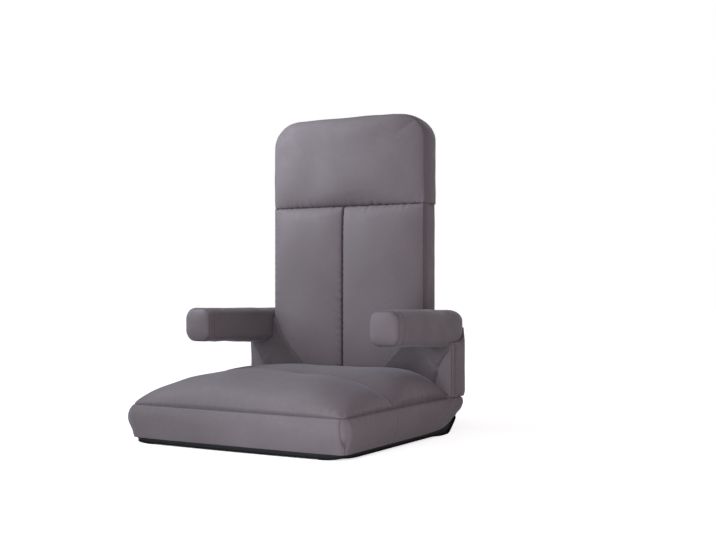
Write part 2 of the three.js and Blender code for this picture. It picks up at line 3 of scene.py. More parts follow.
import bpy
import numpy as np
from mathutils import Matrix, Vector


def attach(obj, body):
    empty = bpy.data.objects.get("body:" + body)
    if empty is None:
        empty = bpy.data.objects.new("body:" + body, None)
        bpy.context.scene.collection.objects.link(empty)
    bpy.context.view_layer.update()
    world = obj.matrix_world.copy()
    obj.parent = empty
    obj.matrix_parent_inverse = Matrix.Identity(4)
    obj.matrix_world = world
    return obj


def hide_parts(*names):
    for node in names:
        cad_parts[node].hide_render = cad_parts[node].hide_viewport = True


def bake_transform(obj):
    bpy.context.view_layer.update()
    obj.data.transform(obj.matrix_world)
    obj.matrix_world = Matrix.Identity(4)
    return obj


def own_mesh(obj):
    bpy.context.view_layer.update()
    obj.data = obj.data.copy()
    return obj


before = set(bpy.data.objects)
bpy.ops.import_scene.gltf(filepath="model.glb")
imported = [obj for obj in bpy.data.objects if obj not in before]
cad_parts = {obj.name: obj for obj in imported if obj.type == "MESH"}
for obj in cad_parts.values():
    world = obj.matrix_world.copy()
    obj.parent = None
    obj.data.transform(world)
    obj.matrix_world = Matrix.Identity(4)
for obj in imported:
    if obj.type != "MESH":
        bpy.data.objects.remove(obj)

# Folding floor chair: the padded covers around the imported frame.
# Shapes are written in millimetres with d = distance behind the plane of the seat's front edge
# and z = 0 just above the base cloth; row frame Y = d - 261 and Z = z + 6.  Left is -X.
FOOT, LIFT = 261.0, 6.0
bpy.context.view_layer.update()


# ------------------------------------------------------------------ numbers and small tools
def row(p):
    q = np.array(p, float).reshape(-1, 3).copy()
    q[:, 1] -= FOOT
    q[:, 2] += LIFT
    return q / 1000.0


def ease(t):
    t = np.clip(t, 0.0, 1.0)
    return t * t * (3 - 2 * t)


def curve_through(points):
    """smooth function through the given (position, value) points, without overshoot"""
    px = np.array([p[0] for p in points], float)
    py = np.array([p[1] for p in points], float)
    h = np.diff(px)
    s = np.diff(py) / h
    m = np.zeros(len(px))
    m[0], m[-1] = s[0], s[-1]
    for i in range(1, len(px) - 1):
        if s[i - 1] * s[i] > 0:
            w1, w2 = 2 * h[i] + h[i - 1], h[i] + 2 * h[i - 1]
            m[i] = (w1 + w2) / (w1 / s[i - 1] + w2 / s[i])

    def f(v):
        v = np.clip(v, px[0], px[-1])
        i = np.clip(np.searchsorted(px, v, side="right") - 1, 0, len(px) - 2)
        t = (v - px[i]) / h[i]
        return (
            (1 + 2 * t) * (1 - t) ** 2 * py[i]
            + t * (1 - t) ** 2 * h[i] * m[i]
            + t * t * (3 - 2 * t) * py[i + 1]
            + t * t * (t - 1) * h[i] * m[i + 1]
        )

    return f


FINE = [0.9, 2.0, 3.4, 5.2, 7.6, 10.8, 15.0]


def lines(stops, step, fine=FINE):
    """grid lines between stops [(value, is a seam)], close together beside a seam"""
    out = []
    for (a, fa), (b, fb) in zip(stops, stops[1:]):
        left = [f for f in fine if fa and f < (b - a) * 0.45]
        right = [f for f in fine if fb and f < (b - a) * 0.45]
        lo = a + (left[-1] if left else 0)
        hi = b - (right[-1] if right else 0)
        n = max(1, int(round((hi - lo) / step)))
        out += [a] + [a + f for f in left] + list(np.linspace(lo, hi, n + 1))[1:-1] + [b - f for f in reversed(right)]
    out.append(stops[-1][0])
    return np.array(out)


def lattice(us, vs, ws, keep=None):
    """closed quad skin of the kept cells of a grid: (u, v, w of each point, quads)"""
    nu, nv, nw = len(us), len(vs), len(ws)
    full = np.ones((nu - 1, nv - 1, nw - 1), bool) if keep is None else keep
    pad = np.pad(full, 1)
    ident = np.arange(nu * nv * nw).reshape(nu, nv, nw)
    faces = []
    for axis in range(3):
        for way in (1, -1):
            bare = pad & ~np.roll(pad, -way, axis)
            cell = list(np.nonzero(bare[1:-1, 1:-1, 1:-1]))
            if way > 0:
                cell[axis] = cell[axis] + 1
            b1, b2 = (axis + 1) % 3, (axis + 2) % 3
            quad = []
            for s, t in ((0, 0), (1, 0), (1, 1), (0, 1)):
                c = [k.copy() for k in cell]
                c[b1] = c[b1] + s
                c[b2] = c[b2] + t
                quad.append(ident[c[0], c[1], c[2]])
            faces.append(np.stack(quad if way > 0 else quad[::-1], 1))
    faces = np.concatenate(faces)
    used, packed = np.unique(faces, return_inverse=True)
    faces = packed.reshape(faces.shape)
    i, j, k = np.unravel_index(used, (nu, nv, nw))
    return us[i], vs[j], ws[k], faces


def normals(p, f):
    n = np.cross(p[f[:, 2]] - p[f[:, 0]], p[f[:, 3]] - p[f[:, 1]])
    out = np.zeros_like(p)
    for c in range(4):
        np.add.at(out, f[:, c], n)
    return out / np.maximum(np.linalg.norm(out, axis=1), 1e-12)[:, None]


def spread(p, f, rounds, where=None):
    """evens the points out over their neighbours, a few rounds"""
    e = np.concatenate([f[:, [0, 1]], f[:, [1, 2]], f[:, [2, 3]], f[:, [3, 0]]])
    for _ in range(rounds):
        acc = np.zeros_like(p)
        cnt = np.zeros(len(p))
        np.add.at(acc, e[:, 0], p[e[:, 1]])
        np.add.at(acc, e[:, 1], p[e[:, 0]])
        np.add.at(cnt, e[:, 0], 1)
        np.add.at(cnt, e[:, 1], 1)
        mean = acc / cnt[:, None]
        k = 0.5 if where is None else 0.5 * where[:, None]
        p = p + (mean - p) * k
    return p


def ripple(p, size, seed, n=12):
    """soft random waves of about that size, about -1 to 1"""
    r = np.random.default_rng(seed)
    out = np.zeros(len(p))
    for _ in range(n):
        k = r.normal(size=3)
        k *= 2 * math.pi / (size * r.uniform(0.7, 1.5)) / np.linalg.norm(k)
        out += np.sin(p @ k + r.uniform(0, 2 * math.pi))
    return out / math.sqrt(n)


def pinches(s, t, s0, s1, every, seed, depth=(0.35, 1.0), width=(1.8, 3.4), reach=(7, 20), slant=0.35, lean=0.0):
    """small creases that run out from a seam: s along it, t away from it, nothing where t < 0"""
    r = np.random.default_rng(seed)
    out = np.zeros(len(s))
    near = np.nonzero((t >= 0) & (t < reach[1]))[0]
    for i in range(int((s1 - s0) / every)):
        c = s0 + (i + r.uniform(0.1, 0.9)) * every
        w, long, a, m = r.uniform(*width), r.uniform(*reach), r.uniform(*depth), r.normal(lean, slant)
        off = s[near] - c - m * t[near]
        close = np.abs(off) < 3.5 * w
        idx, q = near[close], off[close] / w
        out[idx] -= a * (np.exp(-q * q) - 0.35 * np.exp(-((np.abs(q) - 1.9) ** 2))) * np.clip(1 - t[idx] / long, 0, 1) ** 1.25
    return out


def groove(t, depth, width):
    return -depth * np.exp(-((t / width) ** 2))


def round_corner(a, b, a0, a1, b0, b1, r):
    """square corners of a rectangle pulled in to round ones"""
    ia, ib = np.clip(a, a0 + r, a1 - r), np.clip(b, b0 + r, b1 - r)
    u, v = a - ia, b - ib
    m, l = np.maximum(np.abs(u), np.abs(v)), np.hypot(u, v)
    k = np.where((np.abs(u) > 1e-9) & (np.abs(v) > 1e-9), m / np.maximum(l, 1e-9), 1.0)
    return ia + u * k, ib + v * k


def make(name, p, f, material, marks=None):
    me = bpy.data.meshes.new(name)
    me.from_pydata(row(p).tolist(), [], f.tolist())
    me.update()
    me.polygons.foreach_set("use_smooth", [True] * len(me.polygons))
    for key, value in (marks or {}).items():
        me.attributes.new(key, "FLOAT", "POINT").data.foreach_set("value", np.asarray(value, np.float32))
    me.materials.append(material)
    o = bpy.data.objects.new(name, me)
    bpy.context.scene.collection.objects.link(o)
    return o


def mirror(p, f):
    q = p.copy()
    q[:, 0] *= -1
    return q, f[:, ::-1]


def tube_along(name, points, radius, material, sides=8):
    """closed tube of round section along points, as a mesh"""
    p = np.array(points, float)
    n = len(p)
    tan = np.gradient(p, axis=0)
    tan /= np.linalg.norm(tan, axis=1)[:, None]
    ref = np.array([0.0, 0.0, 1.0]) if abs(tan[0][2]) < 0.8 else np.array([1.0, 0.0, 0.0])
    ring = []
    for i in range(n):
        ref = ref - tan[i] * (ref @ tan[i])
        ref /= np.linalg.norm(ref)
        other = np.cross(tan[i], ref)
        a = np.arange(sides) * 2 * math.pi / sides
        ring.append(p[i] + radius * (np.cos(a)[:, None] * ref + np.sin(a)[:, None] * other))
    v = np.concatenate(ring + [p[:1], p[-1:]])
    faces = []
    for i in range(n - 1):
        for k in range(sides):
            k2 = (k + 1) % sides
            faces.append((i * sides + k, i * sides + k2, (i + 1) * sides + k2, (i + 1) * sides + k))
    for k in range(sides):
        k2 = (k + 1) % sides
        faces.append((n * sides, k2, k))
        faces.append((n * sides + 1, (n - 1) * sides + k, (n - 1) * sides + k2))
    me = bpy.data.meshes.new(name)
    me.from_pydata(row(v).tolist(), [], faces)
    me.update()
    me.polygons.foreach_set("use_smooth", [True] * len(me.polygons))
    me.materials.append(material)
    o = bpy.data.objects.new(name, me)
    bpy.context.scene.collection.objects.link(o)
    return o


# ------------------------------------------------------------------ materials
def material(name):
    m = bpy.data.materials.new(name)
    m.use_nodes = True
    nt = m.node_tree
    nt.nodes.clear()
    out = nt.nodes.new("ShaderNodeOutputMaterial")
    bsdf = nt.nodes.new("ShaderNodeBsdfPrincipled")
    nt.links.new(bsdf.outputs[0], out.inputs[0])
    return m, nt, bsdf


def noise(nt, coord, scale, detail=3.0, rough=0.55, stretch=None):
    n = nt.nodes.new("ShaderNodeTexNoise")
    n.inputs["Scale"].default_value = scale
    n.inputs["Detail"].default_value = detail
    n.inputs["Roughness"].default_value = rough
    if stretch:
        mp = nt.nodes.new("ShaderNodeMapping")
        mp.inputs["Scale"].default_value = stretch
        nt.links.new(coord, mp.inputs["Vector"])
        coord = mp.outputs["Vector"]
    nt.links.new(coord, n.inputs["Vector"])
    return n.outputs["Fac"]


def ramp(nt, fac, stops):
    r = nt.nodes.new("ShaderNodeValToRGB")
    e = r.color_ramp.elements
    while len(e) < len(stops):
        e.new(0.5)
    for k, (pos, col) in enumerate(stops):
        e[k].position = pos
        e[k].color = (*col, 1.0) if hasattr(col, "__len__") else (col, col, col, 1.0)
    nt.links.new(fac, r.inputs["Fac"])
    return r.outputs["Color"]


def math_node(nt, op, a, b=None, clamp=False):
    n = nt.nodes.new("ShaderNodeMath")
    n.operation = op
    n.use_clamp = clamp
    for k, v in enumerate((a, b)):
        if v is None:
            continue
        if isinstance(v, (int, float)):
            n.inputs[k].default_value = v
        else:
            nt.links.new(v, n.inputs[k])
    return n.outputs[0]


def mix_colour(nt, fac, a, b, kind="MIX"):
    n = nt.nodes.new("ShaderNodeMix")
    n.data_type = "RGBA"
    n.blend_type = kind
    for sock, v in ((n.inputs[0], fac), (n.inputs[6], a), (n.inputs[7], b)):
        if isinstance(v, (int, float)):
            sock.default_value = v
        elif isinstance(v, tuple):
            sock.default_value = (*v, 1.0)
        else:
            nt.links.new(v, sock)
    return n.outputs[2]


def map_range(nt, v, a, b, c, d):
    n = nt.nodes.new("ShaderNodeMapRange")
    n.inputs["From Min"].default_value = a
    n.inputs["From Max"].default_value = b
    n.inputs["To Min"].default_value = c
    n.inputs["To Max"].default_value = d
    nt.links.new(v, n.inputs["Value"])
    return n.outputs["Result"]


def weave(nt, coord, pitch):
    """fine plain weave seen on all three pairs of axes, 0 to 1"""
    sep = nt.nodes.new("ShaderNodeSeparateXYZ")
    nt.links.new(coord, sep.inputs[0])
    k = 2 * math.pi / pitch
    waves = [math_node(nt, "SINE", math_node(nt, "MULTIPLY", sep.outputs[c], k)) for c in range(3)]
    total = math_node(nt, "ADD", math_node(nt, "MULTIPLY", waves[0], waves[1]), math_node(nt, "MULTIPLY", waves[1], waves[2]))
    total = math_node(nt, "ADD", total, math_node(nt, "MULTIPLY", waves[0], waves[2]))
    return map_range(nt, total, -1.5, 1.5, 0.0, 1.0)


def fabric(name, base, light, dark, rough, seed):
    """dense brushed upholstery cloth: soft colour clouds, fine weave, dark stitch lines at the seams with painted shade
    of their grooves
    """
    m, nt, b = material(name)
    tc = nt.nodes.new("ShaderNodeTexCoord")
    co = tc.outputs["Object"]
    cloud = noise(nt, co, 7.0 + seed, 4.0, 0.5)
    fine = noise(nt, co, 420.0, 3.0, 0.6)
    colour = ramp(nt, cloud, [(0.30, dark), (0.52, base), (0.75, light)])
    grain = ramp(nt, fine, [(0.25, 0.86), (0.75, 1.10)])
    colour = mix_colour(nt, 1.0, colour, grain, "MULTIPLY")
    # painted shade: the attribute read here darkens the colour almost to black along the seams, the stitching's own
    # dark line plus painted shade of the seam grooves, creases and recesses
    at_seam_shade = nt.nodes.new("ShaderNodeAttribute")
    at_seam_shade.attribute_name = "seam_shade"
    at_seam_shade.attribute_type = "GEOMETRY"
    colour = mix_colour(nt, at_seam_shade.outputs["Fac"], colour, (base[0] * 0.16, base[1] * 0.14, base[2] * 0.15))
    nt.links.new(colour, b.inputs["Base Color"])
    nt.links.new(map_range(nt, noise(nt, co, 60.0, 3.0, 0.6), 0.3, 0.7, rough - 0.05, rough + 0.07), b.inputs["Roughness"])
    b.inputs["Specular IOR Level"].default_value = 0.32
    b.inputs["Sheen Weight"].default_value = 0.14
    b.inputs["Sheen Roughness"].default_value = 0.45
    b.inputs["Sheen Tint"].default_value = (0.86, 0.9, 1.0, 1.0)
    h = math_node(nt, "ADD", math_node(nt, "MULTIPLY", weave(nt, co, 0.0016), 0.5), math_node(nt, "MULTIPLY", fine, 0.7))
    h = math_node(nt, "ADD", h, math_node(nt, "MULTIPLY", noise(nt, co, 95.0, 3.0, 0.55), 1.1))
    bump = nt.nodes.new("ShaderNodeBump")
    bump.inputs["Strength"].default_value = 0.16
    bump.inputs["Distance"].default_value = 0.0006
    nt.links.new(h, bump.inputs["Height"])
    nt.links.new(bump.outputs["Normal"], b.inputs["Normal"])
    return m


def ground_cloth(name):
    """black non-slip cloth with small raised dots"""
    m, nt, b = material(name)
    tc = nt.nodes.new("ShaderNodeTexCoord")
    co = tc.outputs["Object"]
    vor = nt.nodes.new("ShaderNodeTexVoronoi")
    vor.inputs["Scale"].default_value = 210.0
    vor.inputs["Randomness"].default_value = 0.12
    nt.links.new(co, vor.inputs["Vector"])
    dots = map_range(nt, vor.outputs["Distance"], 0.18, 0.42, 1.0, 0.0)
    colour = ramp(nt, noise(nt, co, 300.0, 3.0, 0.6), [(0.3, (0.006, 0.006, 0.007)), (0.7, (0.016, 0.016, 0.017))])
    colour = mix_colour(nt, dots, colour, (0.010, 0.010, 0.011))
    nt.links.new(colour, b.inputs["Base Color"])
    nt.links.new(map_range(nt, dots, 0.0, 1.0, 0.92, 0.62), b.inputs["Roughness"])
    b.inputs["Specular IOR Level"].default_value = 0.3
    bump = nt.nodes.new("ShaderNodeBump")
    bump.inputs["Strength"].default_value = 0.5
    bump.inputs["Distance"].default_value = 0.0005
    nt.links.new(math_node(nt, "ADD", dots, math_node(nt, "MULTIPLY", weave(nt, co, 0.0012), 0.4)), bump.inputs["Height"])
    nt.links.new(bump.outputs["Normal"], b.inputs["Normal"])
    return m


def painted_steel(name):
    m, nt, b = material(name)
    tc = nt.nodes.new("ShaderNodeTexCoord")
    co = tc.outputs["Object"]
    spots = noise(nt, co, 70.0, 5.0, 0.65)
    colour = ramp(nt, spots, [(0.3, (0.018, 0.019, 0.021)), (0.68, (0.028, 0.029, 0.032)), (0.8, (0.06, 0.058, 0.056))])
    nt.links.new(colour, b.inputs["Base Color"])
    b.inputs["Metallic"].default_value = 0.35
    nt.links.new(map_range(nt, spots, 0.3, 0.7, 0.34, 0.52), b.inputs["Roughness"])
    bump = nt.nodes.new("ShaderNodeBump")
    bump.inputs["Strength"].default_value = 0.25
    bump.inputs["Distance"].default_value = 0.0004
    nt.links.new(noise(nt, co, 260.0, 2.0, 0.5), bump.inputs["Height"])
    nt.links.new(bump.outputs["Normal"], b.inputs["Normal"])
    return m


def plated_steel(name):
    m, nt, b = material(name)
    tc = nt.nodes.new("ShaderNodeTexCoord")
    co = tc.outputs["Object"]
    brush = noise(nt, co, 40.0, 6.0, 0.7, (60.0, 3.0, 3.0))
    stain = noise(nt, co, 35.0, 4.0, 0.6)
    colour = ramp(nt, stain, [(0.3, (0.36, 0.36, 0.37)), (0.6, (0.52, 0.52, 0.53)), (0.8, (0.60, 0.58, 0.54))])
    nt.links.new(colour, b.inputs["Base Color"])
    b.inputs["Metallic"].default_value = 1.0
    nt.links.new(map_range(nt, brush, 0.3, 0.7, 0.26, 0.46), b.inputs["Roughness"])
    bump = nt.nodes.new("ShaderNodeBump")
    bump.inputs["Strength"].default_value = 0.2
    bump.inputs["Distance"].default_value = 0.0002
    nt.links.new(brush, bump.inputs["Height"])
    nt.links.new(bump.outputs["Normal"], b.inputs["Normal"])
    return m


def webbing(name):
    m, nt, b = material(name)
    tc = nt.nodes.new("ShaderNodeTexCoord")
    co = tc.outputs["Object"]
    w = weave(nt, co, 0.0042)
    colour = mix_colour(nt, w, (0.008, 0.008, 0.009), (0.030, 0.030, 0.032))
    nt.links.new(colour, b.inputs["Base Color"])
    nt.links.new(map_range(nt, w, 0.0, 1.0, 0.9, 0.72), b.inputs["Roughness"])
    bump = nt.nodes.new("ShaderNodeBump")
    bump.inputs["Strength"].default_value = 0.8
    bump.inputs["Distance"].default_value = 0.0006
    nt.links.new(w, bump.inputs["Height"])
    nt.links.new(bump.outputs["Normal"], b.inputs["Normal"])
    return m


BASE = (0.128, 0.106, 0.114)
LIGHT = (0.140, 0.117, 0.126)
DARK = (0.117, 0.097, 0.104)
CLOTH = fabric("upholstery_cloth", BASE, LIGHT, DARK, 0.60, 0.0)
# painted shade: the wings get a copy of the upholstery cloth at about 0.7 of its colour, standing for the shade under
# the arms
WING_SHADE_CLOTH = fabric("wing_cloth_painted_shade", tuple(c * 0.72 for c in BASE), tuple(c * 0.78 for c in BASE), tuple(c * 0.66 for c in BASE), 0.66, 1.0)
GROUND = ground_cloth("ground_cloth")
PAINT = painted_steel("painted_steel")
PLATED = plated_steel("plated_steel")
STRAP = webbing("woven_webbing")
MARK = {}


# ------------------------------------------------------------------ seat
TOP = curve_through([(-3, 79), (-1.5, 87), (1, 93.5), (5, 101), (12, 110), (30, 126), (60, 142.5), (105, 153), (150, 152.5), (175, 148),
                     (190, 139), (198, 128), (202, 127), (209, 136), (222, 144), (250, 150), (310, 154), (365, 152), (395, 146), (420, 138),
                     (436, 127), (447, 111), (455, 87)])
ROLL = curve_through([(455, 82), (458, 76), (464, 69), (474, 66.3), (484, 67.5), (490, 70), (500, 76.0), (510, 78.5)])
HINGE_D, HINGE_Z, TAIL_R = 510.0, 52.0, 26.5
UNDER = curve_through([(-3, 6.5), (330, 7.0), (400, 9.5), (446, 17), (475, 29), (504, 44), (527, 50), (536.3, 53)])
TAIL_UNDER = curve_through([(-3, 6.5), (330, 7.0), (400, 8.6), (445, 12.0), (470, 16.0), (490, 20.8), (503, 25.6), (514, 31), (522, 37), (528, 45), (532, 55), (533.6, 62)])
TAIL_END = 533.5
SWELL, BOW = 10.5, 5.0


def across(x, v):
    """how full the top is across the width: domed in front, fuller to the sides behind the fold"""
    a = np.clip(np.abs(x) / 275.0, 0, 1)
    left = ease(-x / 120.0)
    front = np.clip(1 - a**3.0, 0, 1) ** (0.52 + 0.16 * left * ease((v - 30) / 60.0))
    rear = np.clip(1 - a ** (9.0 - 4.5 * left), 0, 1) ** 0.5
    k = ease((v - 190) / 90.0)
    return front + (rear - front) * k


def rear_arc(v):
    return HINGE_Z + np.sqrt(np.clip(TAIL_R**2 - np.clip(v - HINGE_D, 0, TAIL_R) ** 2, 0, None))


def seat_height(x, v):
    # two broad soft lobes across the front, as the foam lies
    lobes = 2.6 * np.cos((x - 190.0) * 2 * math.pi / 245.0) * ease((v + 3) / 40) * (1 - 0.6 * ease((v - 200) / 80.0))
    front = 79 + (TOP(v) - 79 + lobes * ease((455 - v) / 60.0)) * across(x, v)
    mid = np.where(v > HINGE_D, rear_arc(v), ROLL(v))
    tails = np.where(v > HINGE_D, rear_arc(v) + 0.5, 79.0)
    rear = np.where(np.abs(x) > 205, tails, mid)
    return np.where(v <= 455, front, rear)


def seat_shape(u, v, w):
    """lattice point -> place of the seat cushion's smooth skin, mm"""
    tail = np.abs(u) > 205
    v = np.where(tail & (v > 500), 500 + (v - 500) * (TAIL_END - 500) / 36.2, v)
    top = np.where(w >= 78.99, seat_height(u, v), np.where(v <= 455, 79.0, seat_height(u, v)))
    bottom = np.where(tail, TAIL_UNDER(v), UNDER(v))
    share = np.clip((w - 9) / 70.0, 0, 1)
    z = bottom + share * (top - bottom)
    edge = np.isclose(np.abs(u), 275)
    front = np.isclose(v, -3)
    blunt = np.where(tail, ease((v - 498) / 35.0), 0.0)
    x, d = round_corner(u, v, -275, 275, -3, 9000, 17)
    # the boxing band swells between its two seams, most a little above its middle
    on_wall = (edge | front) & (w < 78.99)
    swell = np.where(on_wall, SWELL * np.sin(math.pi * share**1.35) ** 0.8 * (1 - 0.35 * ease((v - 430) / 90.0)), 0.0)
    lobes = np.where(front, 2.2 * np.cos((u - 190.0) * 2 * math.pi / 245.0) * np.sin(math.pi * share), 0)
    swell = swell * (1 - 0.85 * blunt)
    nx = np.where(edge, np.sign(u), 0.0)
    nd = np.where(front, -1.0, 0.0)
    both = edge & front
    nx, nd = np.where(both, nx * 0.9, nx), np.where(both, nd * 0.8, nd)
    x = x + nx * swell
    d = d + nd * (swell + lobes)
    # the middle of the front stands a little forward of its corners, the sides pull in a little
    d = d - BOW * np.clip(1 - (u / 275.0) ** 2, 0, 1) * ease(1 - (v + 3) / 70.0)
    x = x - np.sign(u) * np.where(edge, 1.5 * np.sin(math.pi * np.clip(v / 430.0, 0, 1)), 0)
    # the rear corners flare out to the wing posts and draw in again below
    flare = 17.5 * ease((v - 425) / 90.0) * ease((np.abs(u) - 200) / 75.0) * (ease(share * 1.15) - 0.35 * (1 - ease(share * 2)))
    x = x + np.sign(u) * flare * (1 - 0.6 * blunt)
    return np.stack([x, d, z], 1)


SEAT_US = lines([(-275, 1), (-213.6, 0), (-190, 0), (190, 0), (213.6, 0), (275, 1)], 4.4)
SEAT_VS = lines([(-3, 1), (200, 1), (455, 0), (500, 0), (536.2, 1)], 4.6, [0.9, 2.0, 3.4, 5.2, 7.6, 10.8, 15.0])
SEAT_WS = np.array([9, 9.8, 12, 16, 23, 32, 42, 52, 61, 68, 72.5, 75.5, 77.3, 78.3, 79.0])


def seat_mask(us, vs, ws):
    xm = (us[:-1] + us[1:]) / 2
    vm = (vs[:-1] + vs[1:]) / 2
    keep = np.ones((len(us) - 1, len(vs) - 1, len(ws) - 1), bool)
    slot = (np.abs(xm)[:, None] > 190) & (np.abs(xm)[:, None] < 213.6) & (vm[None, :] > 455)
    keep[slot] = False
    return keep


u, v, w, f = lattice(SEAT_US, SEAT_VS, SEAT_WS, seat_mask(SEAT_US, SEAT_VS, SEAT_WS))
p = seat_shape(u, v, w)
n = normals(p, f)
on_top = w >= 78.99
in_front = v < 455.01
side_gap, front_gap = 275 - np.abs(u), v + 3
rim = np.where(on_top, np.minimum(side_gap, front_gap), 0)
drop = np.where(on_top, 0, 79 - w)
wall = ~on_top & ((side_gap < 0.01) | (front_gap < 0.01))
along = np.where(side_gap < front_gap, np.sign(u) * (400 + v), u)
seam_t = np.where(on_top, rim, np.where(wall, drop, 99.0))
seam_t = np.where((v > 500) & (side_gap > 0.01), 99.0, seam_t)
disp = np.zeros(len(p))
disp += groove(seam_t, 1.35, 1.35)
for s0, s1, seed in ((-270, 270, 11), (400, 935, 12), (-935, -400, 13)):
    disp += pinches(along, np.where(on_top, rim, -1), s0, s1, 15, seed, (0.3, 1.1), (2.8, 5.2), (12, 34), 0.5)
    disp += pinches(along, np.where(wall, drop, -1), s0, s1, 21, seed + 40, (0.2, 0.7), (2.6, 5.0), (10, 26), 0.5)
# upright seams at the corners of the boxing band, slanting round the corner towards the base
run = np.where(front_gap < 0.01, -side_gap, front_gap)
share = np.clip((w - 9) / 70.0, 0, 1)
corner_t = np.where(wall & (v < 60), np.abs(run - (3.0 - 12.0 * share)), 99.0)
disp += groove(corner_t, 1.3, 1.8)
disp += np.where(in_front & on_top, 1.3 * ripple(p, 150, 21) * ease(rim / 60), 0)
disp += np.where(wall, 0.9 * ripple(p, 90, 22) * ease((w - 9) / 20) * ease(drop / 15), 0)
# crease of the fold between the leg section and the seat section
disp += np.where(wall & (side_gap < 0.01), -0.8 * np.exp(-(((v - 200 + 0.1 * (79 - w)) / 4.0) ** 2)) * ease(drop / 60 + 0.25), 0)
fold_t = np.where(on_top & in_front, v - 200, -1)
disp += pinches(u, fold_t, -250, 250, 26, 61, (0.4, 1.3), (4, 8), (14, 40), 0.4) * ease(side_gap / 30)
disp += pinches(u, np.where(on_top & in_front, 200 - v, -1), -250, 250, 30, 62, (0.3, 1.0), (4, 8), (12, 34), 0.4) * ease(side_gap / 30)
# wrinkles of the rear corners, where the cover turns round to the wing posts
disp += np.where(wall & (v > 420), 1.0 * np.sin((v - 0.9 * w) / 6.2) * ease((v - 425) / 40) * ease((w - 35) / 30), 0)
p = p + n * disp[:, None]
# seam lines of the seat: dark stitching plus painted shade in the seam grooves
seam_shade_mark = 0.62 * np.exp(-((seam_t / 1.0) ** 2)) + 0.62 * np.exp(-((corner_t / 1.0) ** 2)) * (w > 9.5)
# painted shade: a dark line along the fold crease at d = 200 on the top
seam_shade_mark = seam_shade_mark + np.where(on_top & in_front, 0.35 * np.exp(-(((v - 200) / 2.2) ** 2)), 0)
seat = make("seat_cushion", p, f, CLOTH, {"seam_shade": np.clip(seam_shade_mark, 0, 1)})
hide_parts("leg_cover", "seat_cover", "leg_foam", "seat_foam", "fold_foam", "seat_tail_left", "seat_tail_right")
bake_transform(seat)

# ------------------------------------------------------------------ base cloth
CLOTH_LOW = curve_through([(-8, -6), (436, -6), (452, -1), (470, 10), (490, 24), (506, 36), (527, 44)])
CLOTH_HIGH = curve_through([(-8, 6.4), (330, 6.9), (400, 9.4), (446, 16.9), (475, 28.9), (504, 43.9), (527, 49.8)])
TAIL_LOW = curve_through([(-8, -6), (436, -6), (470, -5.5), (480, -2), (490, 5), (498, 12), (507, 19), (514, 26)])
TAIL_HIGH = curve_through([(-8, 6.4), (330, 6.9), (400, 8.6), (445, 12.0), (470, 16.1), (490, 21.0), (503, 26.0), (514, 32)])
BASE_US = lines([(-274, 1), (-212, 0), (-192, 0), (192, 0), (212, 0), (274, 1)], 14, [1.0, 3.0, 7.0])
BASE_VS = lines([(-1.5, 1), (447, 0), (527, 0)], 10, [1.0, 3.0, 7.0])
BASE_WS = np.array([0.0, 0.08, 0.2, 0.36, 0.55, 0.78, 1.0])
xm, vm = (BASE_US[:-1] + BASE_US[1:]) / 2, (BASE_VS[:-1] + BASE_VS[1:]) / 2
keep = np.ones((len(BASE_US) - 1, len(BASE_VS) - 1, len(BASE_WS) - 1), bool)
keep[(np.abs(xm)[:, None] > 192) & (np.abs(xm)[:, None] < 212) & (vm[None, :] > 458)] = False
u, v, w, f = lattice(BASE_US, BASE_VS, BASE_WS, keep)
x, d = round_corner(u, v, -274, 274, -1.5, 9000, 30)
# the underside is lifted a little along its sides and turns up round the edge
rise = 3.2 * ease((np.abs(u) - 215) / 59.0) + 1.6 * ease((np.abs(u) - 240) / 34.0) * ease(1 - (v + 1.5) / 60.0)
tail = np.abs(u) > 205
d = np.where(tail & (d > 440), 440 + (d - 440) * 74 / 87.0, d)
low = np.where(tail, TAIL_LOW(d), CLOTH_LOW(d)) + rise * ease((440 - v) / 60.0)
z = low + w * (np.where(tail, TAIL_HIGH(d), CLOTH_HIGH(d)) - low)
edge = np.isclose(np.abs(u), 274)
front = np.isclose(v, -1.5)
tuck = 10.0 * (1 - w) ** 2.2
x = x - np.where(edge, np.sign(u) * tuck * np.where(front, 0.7, 1), 0)
d = d + np.where(front, tuck * 0.8 * np.where(edge, 0.7, 1), 0)
d = d - BOW * 1.5 * np.clip(1 - (u / 274.0) ** 2, 0, 1) * ease(1 - (v + 1.5) / 70.0)
x = x - np.where(edge, np.sign(u) * 4.0 * ease((v - 440) / 70.0) * w, 0)
ground = make("base_cloth", np.stack([x, d, z], 1), f, GROUND)
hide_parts("leg_base_cloth", "seat_base_cloth")
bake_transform(ground)


# ------------------------------------------------------------------ back
def back_edge(x):
    return np.clip(1 - np.clip(np.abs(x) / 212.0, 0, 1) ** 3.4, 0, 1) ** 0.5


def lumbar_rise(z):
    hi = np.clip((z - 330) / 204.5, 0, 1)
    lo = np.clip((330 - z) / 246.0, 0, 1)
    return np.clip(1 - hi**6, 0, 1) ** 0.5 * np.clip(1 - lo**9, 0, 1) ** 0.5


def lumbar_half(x):
    """each half is its own broad roll: low at the middle seam, full between, down to the welt outside"""
    k = (np.clip(np.abs(x), 0, 212) - 106.0) / 106.0
    c = np.clip(1 - np.abs(k) ** 2.1, 0, 1) ** 0.72
    return np.where(k > 0, c, 0.40 + 0.60 * c)


def lumbar_front(x, z):
    rise = lumbar_rise(z)
    return 467 - 22.5 * lumbar_half(x) * rise + 2.5 * np.exp(-np.abs(x) / 3.0) * rise


def lumbar_shape(u, v, w):
    zm = 309.0
    k = np.interp(v, [0, 1, 2, 3], [1.0, 2.5, 6.0, 6.0])
    x = np.where(v > 0, u * (212 - k) / 212, u - 7.0 * (1 - (u / 212.0) ** 2))
    z = np.where(v > 0, zm + (w - zm) * (1 - (k - 1) / 245), w)
    deep = 492 + 8 * ease((270 - z) / 16)
    d = np.where(v < 0.5, lumbar_front(u, w), np.where(v < 1.5, 469.0, np.where(v < 2.5, 472.0, deep)))
    return np.stack([x, d, z], 1)


